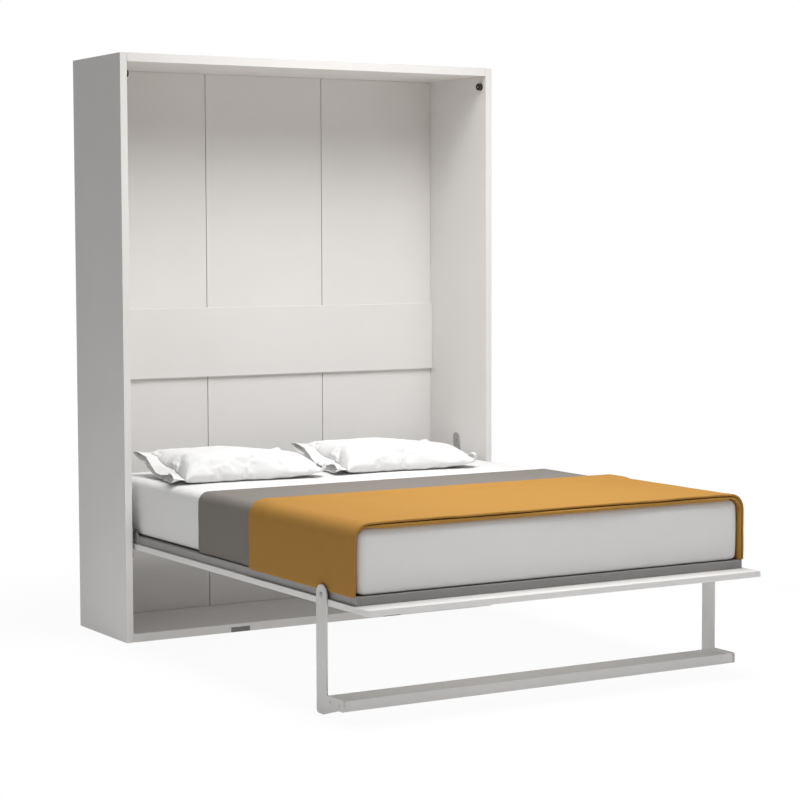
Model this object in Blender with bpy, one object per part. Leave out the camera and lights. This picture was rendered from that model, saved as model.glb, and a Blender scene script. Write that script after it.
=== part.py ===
"""Vertical wall bed: a floor-standing cabinet whose front folds down as a double bed.

Metres, +Z up, +Y towards the wall.  The origin is on the floor, under the middle of the
open bed.  Depths are written as OUT, the distance out from the wall into the room.
"""
import math

import bmesh
import bpy
from mathutils import Matrix, Vector

# ---- driving dimensions -------------------------------------------------------------
HEIGHT = 2.170            # cabinet
WIDTH = 1.610
DEPTH = 0.444
SIDE = 0.028              # thickness of the two side panels
BOARD = 0.032             # thickness of the top and the base
BACK = 0.019              # thickness of the back panels
SEAM = 0.003              # open joint between back panels
OPEN_REACH = 2.170        # wall to the foot end of the open front panel

FIT = 0.0003              # gap between pieces that touch
HEADBOARD_LOW, HEADBOARD_HIGH = 0.949, 1.222
HEADBOARD = 0.012         # thickness of the headboard panel

PIVOT_OUT, PIVOT_Z = 0.414, 0.377      # main hinge of the bed
PANEL_HALF = 0.766        # front panel, which is the underside of the open bed
PANEL = 0.020
PANEL_TOP = 0.367
PANEL_HEAD = 0.075

FRAME_HALF = 0.756        # steel frame on top of the front panel
FRAME_TOP = 0.395
FRAME_HEAD, FRAME_FOOT = 0.135, 2.084
RAIL = 0.030              # width of a rail's section
SLATS = 9
SLAT_WIDTH, SLAT = 0.075, 0.008

MATTRESS_HALF = 0.744
MATTRESS_LOW, MATTRESS_HIGH = 0.3955, 0.605
MATTRESS_HEAD, MATTRESS_FOOT = 0.178, 2.078

LEG_OUT, LEG_Z = 1.887, 0.378          # pivot of the folding leg
LEG_WIDTH = 0.066
LEG_INNER, LEG_PLATE = 0.7675, 0.005
SHELF_LOW, SHELF_HIGH, SHELF_FRONT = 0.029, 0.064, 2.026
SCREW_OUTS, SCREW_Z = (1.941, 2.003), 0.0465

STRUT_TOP_OUT, STRUT_TOP_Z = 0.2386, 0.585     # upper eye, on the cabinet
STRUT_END_OUT, STRUT_END_Z = 0.320, 0.388      # lower eye, on the bed
STRUT_X = 0.763
BRACKET_INNER = 0.7717    # inner face of the steel plates on the side panels

WALL = OPEN_REACH / 2
INNER = WIDTH / 2 - SIDE
LEFT_AND_RIGHT = (("left", -1), ("right", 1))


# ---- materials ----------------------------------------------------------------------
def material(name, colour, roughness, metallic=0.0):
    made = bpy.data.materials.new(name)
    made.use_nodes = True
    shader = made.node_tree.nodes["Principled BSDF"]
    shader.inputs["Base Color"].default_value = (*colour, 1.0)
    shader.inputs["Roughness"].default_value = roughness
    shader.inputs["Metallic"].default_value = metallic
    return made


# ---- building blocks ----------------------------------------------------------------
def place(out, z):
    """(Y, Z) of a point given by its distance out from the wall and its height."""
    return WALL - out, z


def add_object(name, bm, slot, origin=(0.0, 0.0, 0.0)):
    """Close the bmesh into an object whose origin is at the given point."""
    bmesh.ops.recalc_face_normals(bm, faces=bm.faces)
    bmesh.ops.translate(bm, verts=bm.verts, vec=-Vector(origin))
    mesh = bpy.data.meshes.new(name)
    bm.to_mesh(mesh)
    bm.free()
    mesh.materials.append(slot)
    obj = bpy.data.objects.new(name, mesh)
    obj.location = origin
    bpy.context.collection.objects.link(obj)
    return obj


def soften(obj, width, segments=1):
    """Break the sharp edges of a piece."""
    bevel = obj.modifiers.new("edge", "BEVEL")
    bevel.width = width
    bevel.segments = segments
    bevel.limit_method = "ANGLE"
    bevel.angle_limit = math.radians(40)


def smooth(obj):
    obj.data.shade_smooth()
    obj.data.set_sharp_from_angle(angle=math.radians(40))


def block(name, x, out, z, slot, edge=0.001, segments=1, origin=(0.0, 0.0, 0.0)):
    """A box between two x, two distances from the wall and two heights."""
    low = Vector((min(x), WALL - max(out), min(z)))
    high = Vector((max(x), WALL - min(out), max(z)))
    bm = bmesh.new()
    bmesh.ops.create_cube(bm, size=1.0)
    bmesh.ops.scale(bm, vec=high - low, verts=bm.verts)
    bmesh.ops.translate(bm, vec=(low + high) / 2, verts=bm.verts)
    obj = add_object(name, bm, slot, origin)
    if edge:
        soften(obj, edge, segments)
    return obj


def arc(out, z, radius, start, end, steps):
    """Points of an arc; angles in degrees from straight out into the room, turning up."""
    points = []
    for i in range(steps + 1):
        angle = math.radians(start + (end - start) * i / steps)
        points.append((out + radius * math.cos(angle), z + radius * math.sin(angle)))
    return points


def plate(name, outline, x, slot, origin=(0.0, 0.0, 0.0), edge=0.0):
    """An outline of (out, z) points, extruded from the first x to the second."""
    bm = bmesh.new()
    loop = [bm.verts.new((x[0], *place(*point))) for point in outline]
    face = bm.faces.new(loop)
    grown = bmesh.ops.extrude_face_region(bm, geom=[face])
    moved = [g for g in grown["geom"] if isinstance(g, bmesh.types.BMVert)]
    bmesh.ops.translate(bm, vec=(x[1] - x[0], 0, 0), verts=moved)
    obj = add_object(name, bm, slot, origin)
    if edge:
        soften(obj, edge)
    return obj


def turned(name, steps, out, z, slot, origin=(0.0, 0.0, 0.0), sides=20):
    """A piece turned about a line along X; steps are (x, radius) from one end to the other."""
    bm = bmesh.new()
    y, z = place(out, z)
    rings = []
    for x, radius in steps:
        ring = []
        for i in range(sides):
            angle = 2 * math.pi * i / sides
            point = (x, y + radius * math.cos(angle), z + radius * math.sin(angle))
            ring.append(bm.verts.new(point))
        rings.append(ring)
    for near, far in zip(rings, rings[1:]):
        for i in range(sides):
            j = (i + 1) % sides
            bm.faces.new((near[i], near[j], far[j], far[i]))
    bm.faces.new(rings[0])
    bm.faces.new(rings[-1])
    obj = add_object(name, bm, slot, origin)
    smooth(obj)
    return obj


def cut(target, cutter):
    """Subtract a hidden cutter from a piece."""
    cutter.hide_render = True
    cutter.display_type = "WIRE"
    boolean = target.modifiers.new("cut", "BOOLEAN")
    boolean.operation = "DIFFERENCE"
    boolean.object = cutter
    boolean.solver = "EXACT"


def drill(target, x, radius, out, z, sides=20):
    """Drill a round hole along X between two x."""
    name = "cutter_" + target.name + "_" + str(len(target.modifiers))
    steps = [(x[0], radius), (x[1], radius)]
    cut(target, turned(name, steps, out, z, target.data.materials[0], sides=sides))


def join_shapes(target, other):
    """Unite a hidden second shape with a piece."""
    other.hide_render = True
    other.display_type = "WIRE"
    boolean = target.modifiers.new("join", "BOOLEAN")
    boolean.operation = "UNION"
    boolean.object = other
    boolean.solver = "EXACT"


# ---- cabinet ------------------------------------------------------------------------
def cabinet(board, plastic):
    for label, side in LEFT_AND_RIGHT:
        edge_x = (side * INNER, side * WIDTH / 2)
        block("side_panel_" + label, edge_x, (0, DEPTH), (0, HEIGHT), board)
    between = (-INNER + FIT, INNER - FIT)
    block("top_panel", between, (0, DEPTH), (HEIGHT - BOARD, HEIGHT), board)
    base = block("base_panel", between, (0, DEPTH), (0, BOARD), board)
    glide_half, glide_height, glide_back = 0.040, 0.0195, 0.060
    for label, side in LEFT_AND_RIGHT:
        centre = side * 0.3345
        notch_x = (centre - glide_half, centre + glide_half)
        notch_out = (DEPTH - glide_back, DEPTH + 0.010)
        notch = block("cutter_notch_" + label, notch_x, notch_out, (-0.010, glide_height), board, 0)
        cut(base, notch)
        glide_x = (notch_x[0] + FIT, notch_x[1] - FIT)
        glide_out = (notch_out[0] + FIT, DEPTH - 0.0015)
        block("base_glide_" + label, glide_x, glide_out, (0, glide_height - FIT), plastic, 0.0005)


def back_wall(board):
    third = 2 * (INNER - FIT) / 3
    for i, label in enumerate(("left", "middle", "right")):
        low = -INNER + FIT + third * i + (SEAM / 2 if i else 0)
        high = -INNER + FIT + third * (i + 1) - (SEAM / 2 if i < 2 else 0)
        rise = (BOARD + FIT, HEIGHT - BOARD - FIT)
        block("back_panel_" + label, (low, high), (0, BACK), rise, board)
    head_x = (-INNER + FIT, INNER - FIT)
    head_out = (BACK + FIT, BACK + FIT + HEADBOARD)
    block("headboard_panel", head_x, head_out, (HEADBOARD_LOW, HEADBOARD_HIGH), board)


def stop_buffers(rubber, steel):
    """Rubber stops inside the top front corners, which the closed panel rests on."""
    out, z, radius = 0.4092, 2.097, 0.014
    for label, side in LEFT_AND_RIGHT:
        foot, tip = INNER - FIT, INNER - 0.0175
        ring = [(foot, radius), (tip + 0.003, radius), (tip + 0.001, radius - 0.001)]
        ring.append((tip, radius - 0.003))
        steps = [(side * x, r) for x, r in ring]
        buffer = turned("stop_buffer_" + label, steps, out, z, rubber)
        seat = tip + 0.006
        drill(buffer, (side * (tip - 0.005), side * seat), 0.0065, out, z)
        screw = [(side * (seat - FIT), 0.0055), (side * (seat - 0.003), 0.0055)]
        screw.append((side * (seat - 0.004), 0.0040))
        turned("buffer_screw_" + label, screw, out, z, steel, sides=16)


def hinge_plates(steel):
    """Steel plates on the side panels: the hinge plate and the leaning strut bracket."""
    lean = (STRUT_TOP_OUT - 0.224) / (0.672 - STRUT_TOP_Z)
    half = 0.0215
    low = 0.4373
    for label, side in LEFT_AND_RIGHT:
        x = (side * BRACKET_INNER, side * (INNER - FIT))
        lower = [(0.438, 0.317), (0.438, 0.431), (0.432, 0.437), (0.250, 0.437), (0.250, 0.317)]
        hinge = plate("pivot_plate_" + label, lower, x, steel)
        drill(hinge, (side * 0.765, side * 0.785), 0.0083, PIVOT_OUT, PIVOT_Z, 32)
        foot = 0.224 + lean * (0.672 - low)
        arm = arc(0.224, 0.672, half, -8, 188, 14)
        arm += [(foot - half - 0.002, low), (foot + half + 0.002, low)]
        bracket = plate("strut_bracket_" + label, arm, x, steel)
        drill(bracket, (side * 0.765, side * 0.785), 0.0053, STRUT_TOP_OUT, STRUT_TOP_Z)
        drill(bracket, (side * 0.765, side * 0.785), 0.0043, 0.2235, 0.667)
        face = BRACKET_INNER - FIT
        bolt = [(INNER - FIT, 0.004), (face, 0.004), (face, 0.0075)]
        bolt += [(face - 0.002, 0.0075), (face - 0.0035, 0.005)]
        turned("bracket_bolt_" + label, [(side * a, r) for a, r in bolt], 0.2235, 0.667, steel)
        stud = [(INNER - FIT, 0.005), (0.757, 0.005), (0.7565, 0.0045)]
        stud = [(side * a, r) for a, r in stud]
        turned("strut_stud_" + label, stud, STRUT_TOP_OUT, STRUT_TOP_Z, steel)


# ---- gas struts ---------------------------------------------------------------------
def strut_frame(side):
    """Matrix that puts local +Z along the strut, down from the upper eye."""
    top = Vector((side * STRUT_X, *place(STRUT_TOP_OUT, STRUT_TOP_Z)))
    end = Vector((side * STRUT_X, *place(STRUT_END_OUT, STRUT_END_Z)))
    turn = (end - top).to_track_quat("Z", "Y").to_matrix().to_4x4()
    return Matrix.Translation(top) @ turn, (end - top).length


def rod_shape(name, side, start, end, radius, slot, sides=20):
    """A round bar along the strut, from start to end measured from the upper eye."""
    frame, _ = strut_frame(side)
    bm = bmesh.new()
    bmesh.ops.create_cone(bm, cap_ends=True, segments=sides, radius1=radius,
                          radius2=radius, depth=end - start)
    bmesh.ops.translate(bm, vec=(0, 0, (start + end) / 2), verts=bm.verts)
    bmesh.ops.transform(bm, matrix=frame, verts=bm.verts)
    obj = add_object(name, bm, slot, frame.translation)
    smooth(obj)
    return obj


def eye_shape(name, side, out, z, half, radius, slot, origin):
    steps = [(side * (STRUT_X - half), radius), (side * (STRUT_X + half), radius)]
    return turned(name, steps, out, z, slot, origin)


def gas_struts(paint, chrome):
    for label, side in LEFT_AND_RIGHT:
        frame, length = strut_frame(side)
        top = frame.translation
        barrel_end = length - 0.017
        barrel = rod_shape("strut_cylinder_" + label, side, 0.008, barrel_end, 0.008, paint)
        eye = eye_shape("cutter_top_eye_" + label, side, STRUT_TOP_OUT, STRUT_TOP_Z,
                        0.0055, 0.011, paint, top)
        join_shapes(barrel, eye)
        drill(barrel, (side * 0.74, side * 0.79), 0.0054, STRUT_TOP_OUT, STRUT_TOP_Z)
        bore = rod_shape("cutter_bore_" + label, side, 0.030, length, 0.0041, paint)
        cut(barrel, bore)
        rod = rod_shape("strut_rod_" + label, side, 0.036, length - 0.005, 0.0035, chrome, 16)
        eye = eye_shape("cutter_end_eye_" + label, side, STRUT_END_OUT, STRUT_END_Z,
                        0.003, 0.010, chrome, top)
        join_shapes(rod, eye)
        drill(rod, (side * 0.74, side * 0.79), 0.0050, STRUT_END_OUT, STRUT_END_Z)


# ---- bed ----------------------------------------------------------------------------
def bed_frame(board, steel, wood, pivot):
    block("front_panel", (-PANEL_HALF, PANEL_HALF), (PANEL_HEAD, OPEN_REACH),
          (PANEL_TOP - PANEL, PANEL_TOP), board, origin=pivot)
    rise = (PANEL_TOP + FIT, FRAME_TOP)
    inner = FRAME_HALF - RAIL
    for label, side in LEFT_AND_RIGHT:
        block("rail_" + label, (side * inner, side * FRAME_HALF),
              (FRAME_HEAD, FRAME_FOOT - RAIL - FIT), rise, steel, 0.002, 2, pivot)
    block("rail_foot", (-FRAME_HALF, FRAME_HALF), (FRAME_FOOT - RAIL, FRAME_FOOT), rise,
          steel, 0.002, 2, pivot)
    head_x = (-inner + FIT, inner - FIT)
    block("rail_head", head_x, (FRAME_HEAD, FRAME_HEAD + 0.040), rise, steel, 0.002, 2, pivot)
    stop_rise = (FRAME_TOP + FIT, 0.470)
    block("mattress_stop", (-0.600, 0.600), (0.166, 0.171), stop_rise, steel, origin=pivot)
    slat_low = 0.381
    beam_out = (FRAME_HEAD + 0.040 + FIT, FRAME_FOOT - RAIL - FIT)
    block("centre_beam", (-0.020, 0.020), beam_out, (rise[0], slat_low - FIT), steel,
          0.002, 1, pivot)
    first, last = 0.280, 1.975
    for i in range(SLATS):
        centre = first + (last - first) * i / (SLATS - 1)
        slat_out = (centre - SLAT_WIDTH / 2, centre + SLAT_WIDTH / 2)
        block("slat_%d" % (i + 1), head_x, slat_out, (slat_low, slat_low + SLAT), wood,
              0.002, 1, pivot)


def bed_hinges(steel, pivot):
    """The arm plate beside each side rail, its hinge pin, and the leg's shoulder bolt."""
    low = PANEL_TOP + 0.001
    for label, side in LEFT_AND_RIGHT:
        outline = [(0.455, low), (0.455, 0.400), (0.443, 0.412)]
        outline += [(0.318, 0.403), (0.305, 0.395), (0.305, low)]
        near, far = FRAME_HALF + FIT, FRAME_HALF + 0.0033
        arm = plate("arm_plate_" + label, outline, (side * near, side * far), steel, pivot)
        drill(arm, (side * 0.74, side * 0.79), 0.0050, STRUT_END_OUT, STRUT_END_Z)
        pin = [(far + FIT, 0.008), (INNER - 0.002, 0.008), (INNER - 0.001, 0.007)]
        turned("pivot_pin_" + label, [(side * a, r) for a, r in pin], PIVOT_OUT, PIVOT_Z,
               steel, pivot)
        shoulder = LEG_INNER - FIT
        head = LEG_INNER + LEG_PLATE + FIT
        bolt = [(near, 0.010), (shoulder, 0.010), (shoulder, 0.006), (head, 0.006)]
        bolt += [(head, 0.0085), (head + 0.0015, 0.0085), (head + 0.0025, 0.0060)]
        turned("leg_bolt_" + label, [(side * a, r) for a, r in bolt], LEG_OUT, LEG_Z,
               steel, pivot)


# ---- folding leg --------------------------------------------------------------------
def leg_outline():
    """Upright with a round head; the foot runs forward and rises to a blunt tip."""
    half = LEG_WIDTH / 2
    back, front = LEG_OUT - half, LEG_OUT + half
    heel, tip = 0.012, 0.008
    points = arc(LEG_OUT, LEG_Z, half, 0, 180, 16)
    points += arc(back + heel, heel, heel, 180, 270, 4)
    points += [(back + 0.045, 0.0)]
    points += [(SHELF_FRONT - 0.030, SHELF_LOW - 0.001)]
    points += arc(SHELF_FRONT + 0.004 - tip, SHELF_LOW - 0.001 + tip, tip, 270, 360, 3)
    points += arc(SHELF_FRONT + 0.004 - tip, SHELF_HIGH + 0.001 - tip, tip, 0, 90, 3)
    points += [(front, SHELF_HIGH + 0.001)]
    return points


def leg(board, paint, steel, pivot):
    outer = LEG_INNER + LEG_PLATE
    shelf_half = LEG_INNER - FIT
    shelf_back = LEG_OUT + LEG_WIDTH / 2 + 0.0005
    shelf = block("leg_shelf", (-shelf_half, shelf_half), (shelf_back, SHELF_FRONT),
                  (SHELF_LOW, SHELF_HIGH), board, 0.002, 2, pivot)
    for label, side in LEFT_AND_RIGHT:
        x = (side * LEG_INNER, side * outer)
        side_plate = plate("leg_plate_" + label, leg_outline(), x, paint, pivot)
        drill(side_plate, (side * 0.75, side * 0.79), 0.0064, LEG_OUT, LEG_Z)
        for end, out in zip(("rear", "front"), SCREW_OUTS):
            drill(side_plate, (side * 0.76, side * 0.79), 0.0026, out, SCREW_Z, 16)
            drill(shelf, (side * 0.7485, side * 0.79), 0.0026, out, SCREW_Z, 16)
            head = outer + FIT
            screw = [(0.749, 0.0022), (head, 0.0022), (head, 0.004)]
            screw += [(head + 0.0008, 0.004), (head + 0.0014, 0.003)]
            turned("shelf_screw_%s_%s" % (end, label), [(side * a, r) for a, r in screw],
                   out, SCREW_Z, steel, pivot, 16)


# ---- bedding ------------------------------------------------------------------------
def throw(name, half, top, low, thickness, out, slot, pivot):
    """A throw laid over the mattress: an upturned U that hangs down both sides."""
    corner = 0.035

    def side_of_profile(shrink):
        radius = corner - shrink
        points = [(half - shrink, low)]
        for i in range(7):
            angle = math.radians(90 * i / 6)
            x = half - corner + radius * math.cos(angle)
            points.append((x, top - corner + radius * math.sin(angle)))
        return points

    outer, inner = side_of_profile(0.0), side_of_profile(thickness)
    profile = outer + [(-x, z) for x, z in reversed(outer)]
    profile += [(-x, z) for x, z in inner] + list(reversed(inner))
    bm = bmesh.new()
    loop = [bm.verts.new((x, WALL - out[0], z)) for x, z in profile]
    face = bm.faces.new(loop)
    grown = bmesh.ops.extrude_face_region(bm, geom=[face])
    moved = [g for g in grown["geom"] if isinstance(g, bmesh.types.BMVert)]
    bmesh.ops.translate(bm, vec=(0, out[0] - out[1], 0), verts=moved)
    add_object(name, bm, slot, pivot)


def pillow(name, x, out, yaw, slot, pivot):
    """A plump cushion: a squared ellipsoid, flatter underneath."""
    half_length, half_width, crown, belly, middle = 0.294, 0.213, 0.074, 0.027, 0.634
    bm = bmesh.new()
    bmesh.ops.create_uvsphere(bm, u_segments=28, v_segments=8, radius=1.0)
    for vert in bm.verts:
        ring = math.hypot(vert.co.x, vert.co.y)
        if ring > 1e-6:
            along, across = vert.co.x / ring, vert.co.y / ring
            square = (abs(along) ** 4 + abs(across) ** 4) ** -0.25
            vert.co.x, vert.co.y = along * square * ring, across * square * ring
        vert.co.x *= half_length
        vert.co.y *= half_width
        vert.co.z *= crown if vert.co.z > 0 else belly
    place_it = Matrix.Translation((x, WALL - out, middle)) @ Matrix.Rotation(yaw, 4, "Z")
    bmesh.ops.transform(bm, matrix=place_it, verts=bm.verts)
    smooth(add_object(name, bm, slot, pivot))


def bedding(white, grey, ochre, linen, pivot):
    mattress = block("mattress", (-MATTRESS_HALF, MATTRESS_HALF),
                     (MATTRESS_HEAD, MATTRESS_FOOT), (MATTRESS_LOW, MATTRESS_HIGH),
                     white, 0.030, 4, pivot)
    smooth(mattress)
    throw("throw_grey", 0.7505, 0.6110, 0.3975, 0.0045, (0.950, 1.3697), grey, pivot)
    throw("throw_ochre", 0.7600, 0.6210, 0.3960, 0.0155, (1.370, 2.083), ochre, pivot)
    yaw = math.radians(-5.3)
    pillow("pillow_left", -0.428, 0.528, yaw, linen, pivot)
    pillow("pillow_right", 0.240, 0.534, yaw, linen, pivot)


def build():
    for obj in list(bpy.data.objects):
        bpy.data.objects.remove(obj, do_unlink=True)
    board = material("white_board", (0.80, 0.79, 0.78), 0.45)
    paint = material("light_paint", (0.72, 0.715, 0.705), 0.40)
    frame_paint = material("frame_paint", (0.28, 0.27, 0.26), 0.45, 0.3)
    steel = material("zinc_steel", (0.40, 0.40, 0.39), 0.35, 0.9)
    chrome = material("chrome_rod", (0.75, 0.75, 0.75), 0.12, 1.0)
    plastic = material("grey_plastic", (0.22, 0.22, 0.21), 0.55)
    rubber = material("black_rubber", (0.02, 0.02, 0.02), 0.75)
    wood = material("slat_birch", (0.62, 0.45, 0.28), 0.50)
    ticking = material("mattress_cover", (0.82, 0.81, 0.80), 0.90)
    grey = material("grey_throw", (0.23, 0.21, 0.195), 0.95)
    ochre = material("ochre_throw", (0.42, 0.22, 0.055), 0.95)
    linen = material("pillow_linen", (0.88, 0.88, 0.88), 0.90)
    bed_pivot = Vector((0, *place(PIVOT_OUT, PIVOT_Z)))
    leg_pivot = Vector((0, *place(LEG_OUT, LEG_Z)))
    cabinet(board, plastic)
    back_wall(board)
    stop_buffers(rubber, steel)
    hinge_plates(steel)
    gas_struts(frame_paint, chrome)
    bed_frame(board, frame_paint, wood, bed_pivot)
    bed_hinges(steel, bed_pivot)
    leg(board, paint, steel, leg_pivot)
    bedding(ticking, grey, ochre, linen, bed_pivot)


build()
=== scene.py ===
"""Looks for the vertical wall bed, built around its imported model.

Metres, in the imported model's own frame: +X to the right, +Y towards the wall, +Z up.  The
boards, rails and hardware keep their shapes and get materials here.  The mattress, the two
throws and the two pillows are made here as soft goods.
"""
import math

import bmesh
import bpy
import numpy as np
from mathutils import Matrix, Vector


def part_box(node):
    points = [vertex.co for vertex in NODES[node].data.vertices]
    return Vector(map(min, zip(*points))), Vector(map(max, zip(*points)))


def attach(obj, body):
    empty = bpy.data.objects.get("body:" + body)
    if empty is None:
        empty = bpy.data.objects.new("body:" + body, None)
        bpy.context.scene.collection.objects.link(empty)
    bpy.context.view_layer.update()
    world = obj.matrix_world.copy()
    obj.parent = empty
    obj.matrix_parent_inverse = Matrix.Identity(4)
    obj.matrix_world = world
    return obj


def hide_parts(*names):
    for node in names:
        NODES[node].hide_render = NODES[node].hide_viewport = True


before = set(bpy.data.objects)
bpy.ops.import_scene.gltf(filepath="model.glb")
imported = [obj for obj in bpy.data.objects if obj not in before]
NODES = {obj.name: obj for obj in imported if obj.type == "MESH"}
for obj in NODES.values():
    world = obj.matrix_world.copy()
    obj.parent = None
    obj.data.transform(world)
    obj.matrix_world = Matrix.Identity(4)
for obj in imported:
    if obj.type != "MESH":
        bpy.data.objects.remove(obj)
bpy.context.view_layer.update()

# ---- places read from the frame -----------------------------------------------------
MATTRESS_LOW, MATTRESS_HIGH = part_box("mattress")
FRONT_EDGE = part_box("side_panel_left")[0].y
PANEL_LOW, PANEL_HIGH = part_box("front_panel")

SLATS = [name for name in NODES if name.startswith("slat_")]


# ---- materials ----------------------------------------------------------------------
class Look:
    """A Principled material, with short calls for the nodes that feed it."""

    def __init__(self, name, **values):
        self.material = bpy.data.materials.new(name)
        self.material.use_nodes = True
        self.tree = self.material.node_tree
        self.shader = self.tree.nodes["Principled BSDF"]
        for socket, value in values.items():
            self.shader.inputs[socket.replace("_", " ")].default_value = value
        self.place = self.tree.nodes.new("ShaderNodeTexCoord").outputs["Object"]

    def node(self, kind, inputs=(), **settings):
        """A shader node; its inputs are values, or sockets to link."""
        made = self.tree.nodes.new("ShaderNode" + kind)
        for key, value in settings.items():
            setattr(made, key, value)
        for key, value in dict(inputs).items():
            if isinstance(value, bpy.types.NodeSocket):
                self.tree.links.new(value, made.inputs[key])
            else:
                made.inputs[key].default_value = value
        return made

    def stretched(self, scale, place=None):
        inputs = {"Vector": place or self.place, "Scale": scale}
        return self.node("Mapping", inputs).outputs["Vector"]

    def noise(self, scale, detail=3.0, rough=0.5, place=None):
        inputs = {"Vector": place or self.place, "Scale": scale, "Detail": detail}
        inputs["Roughness"] = rough
        return self.node("TexNoise", inputs).outputs["Fac"]

    def calc(self, operation, a, b=0.0, c=0.0):
        made = self.node("Math", {0: a, 1: b, 2: c}, operation=operation)
        return made.outputs[0]

    def spread(self, value, low, high, new_low, new_high):
        """The value's range low to high, mapped to the new range."""
        inputs = {"Value": value, "From Min": low, "From Max": high}
        inputs.update({"To Min": new_low, "To Max": new_high})
        return self.node("MapRange", inputs).outputs["Result"]

    def blend(self, share, first, second):
        """A mix of two colours: the first at share 0, the second at share 1."""
        made = self.node("Mix", {0: share}, data_type="RGBA")
        for socket, value in ((6, first), (7, second)):
            if isinstance(value, bpy.types.NodeSocket):
                self.tree.links.new(value, made.inputs[socket])
            else:
                made.inputs[socket].default_value = (*value, 1.0)
        return made.outputs[2]

    def axis(self, letter, place=None):
        parts = self.node("SeparateXYZ", {"Vector": place or self.place})
        return parts.outputs[letter]

    def set(self, socket, value):
        self.tree.links.new(value, self.shader.inputs[socket])

    def bump(self, height, distance, strength=1.0, under=None):
        inputs = {"Height": height, "Distance": distance, "Strength": strength}
        if under is not None:
            inputs["Normal"] = under
        return self.node("Bump", inputs).outputs["Normal"]


def lighter(colour, share):
    """The colour at that share of its strength, up to full white."""
    return tuple(min(1.0, c * share) for c in colour)


def melamine(name, colour, joints=()):
    """Satin white board; joints are (axis, place) of the fine lines where its edging starts."""
    look = Look(name, Specular_IOR_Level=0.45)
    tint = lighter(colour, 0.965)
    cloudy = look.noise(2.4, 4.0, 0.6)
    base = look.blend(look.spread(cloudy, 0.3, 0.7, 0.0, 1.0), colour, tint)
    for letter, place in joints:
        away = look.calc("ABSOLUTE", look.calc("SUBTRACT", look.axis(letter), place))
        line = look.spread(away, 0.0002, 0.0006, 1.0, 0.0)
        base = look.blend(look.calc("MULTIPLY", line, 0.45), base, lighter(colour, 0.5))
    look.set("Base Color", base)
    pearl = look.noise(850.0, 2.0, 0.5)
    look.set("Roughness", look.spread(look.noise(34.0, 3.0), 0.3, 0.7, 0.40, 0.50))
    look.set("Normal", look.bump(pearl, 0.0002, 0.25))
    return look.material


def coated_steel(name, colour, roughness=0.45, grain=700.0):
    """Powder-coated steel: fine orange peel and faint speckle."""
    look = Look(name, Metallic=0.0, Specular_IOR_Level=0.5)
    speckle = look.noise(grain, 2.0, 0.6)
    dark = lighter(colour, 0.90)
    base = look.blend(look.spread(speckle, 0.35, 0.65, 0.0, 1.0), colour, dark)
    worn = look.noise(5.0, 5.0, 0.65)
    light = lighter(colour, 1.06)
    look.set("Base Color", look.blend(look.spread(worn, 0.35, 0.7, 0.0, 0.8), base, light))
    look.set("Roughness", look.spread(worn, 0.3, 0.7, roughness - 0.06, roughness + 0.06))
    look.set("Normal", look.bump(speckle, 0.0003, 0.35))
    return look.material


def bare_steel(name, colour, roughness, stretch=(1.0, 1.0, 1.0)):
    """Zinc-plated or polished steel with fine brushing and a little wear."""
    look = Look(name, Metallic=0.95)
    brushed = look.noise(260.0, 4.0, 0.6, look.stretched(stretch))
    cloudy = look.noise(60.0, 3.0, 0.6)
    base = look.blend(look.spread(cloudy, 0.3, 0.7, 0.0, 1.0), colour, lighter(colour, 0.82))
    look.set("Base Color", base)
    look.set("Roughness", look.spread(brushed, 0.3, 0.7, roughness * 0.8, roughness * 1.3))
    look.set("Normal", look.bump(brushed, 0.0001, 0.2))
    return look.material


def moulded(name, colour, roughness, grain=900.0):
    """Matte plastic or rubber with a fine moulded grain."""
    look = Look(name, Specular_IOR_Level=0.35)
    fine = look.noise(grain, 3.0, 0.6)
    dusty = look.noise(40.0, 3.0, 0.6)
    pale = tuple(min(1.0, c * 1.25 + 0.01) for c in colour)
    look.set("Base Color", look.blend(look.spread(dusty, 0.45, 0.75, 0.0, 0.7), colour, pale))
    look.set("Roughness", look.spread(dusty, 0.3, 0.7, roughness - 0.07, roughness + 0.07))
    look.set("Normal", look.bump(fine, 0.0004, 0.4))
    return look.material


def birch(name):
    """Bare birch plywood slats: grain along X, and the plies as lines in their height."""
    look = Look(name, Specular_IOR_Level=0.3)
    grain = look.noise(26.0, 6.0, 0.65, look.stretched((0.10, 1.6, 1.6)))
    pores = look.noise(420.0, 3.0, 0.6, look.stretched((0.05, 1.0, 1.0)))
    pale, dark = (0.71, 0.55, 0.37), (0.55, 0.39, 0.23)
    wood = look.blend(look.spread(grain, 0.35, 0.65, 0.0, 1.0), pale, dark)
    wood = look.blend(look.spread(pores, 0.58, 0.72, 0.0, 0.5), wood, (0.42, 0.28, 0.16))
    look.set("Base Color", wood)
    look.set("Roughness", look.spread(grain, 0.3, 0.7, 0.42, 0.58))
    look.set("Normal", look.bump(pores, 0.0002, 0.4))
    return look.material


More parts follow.
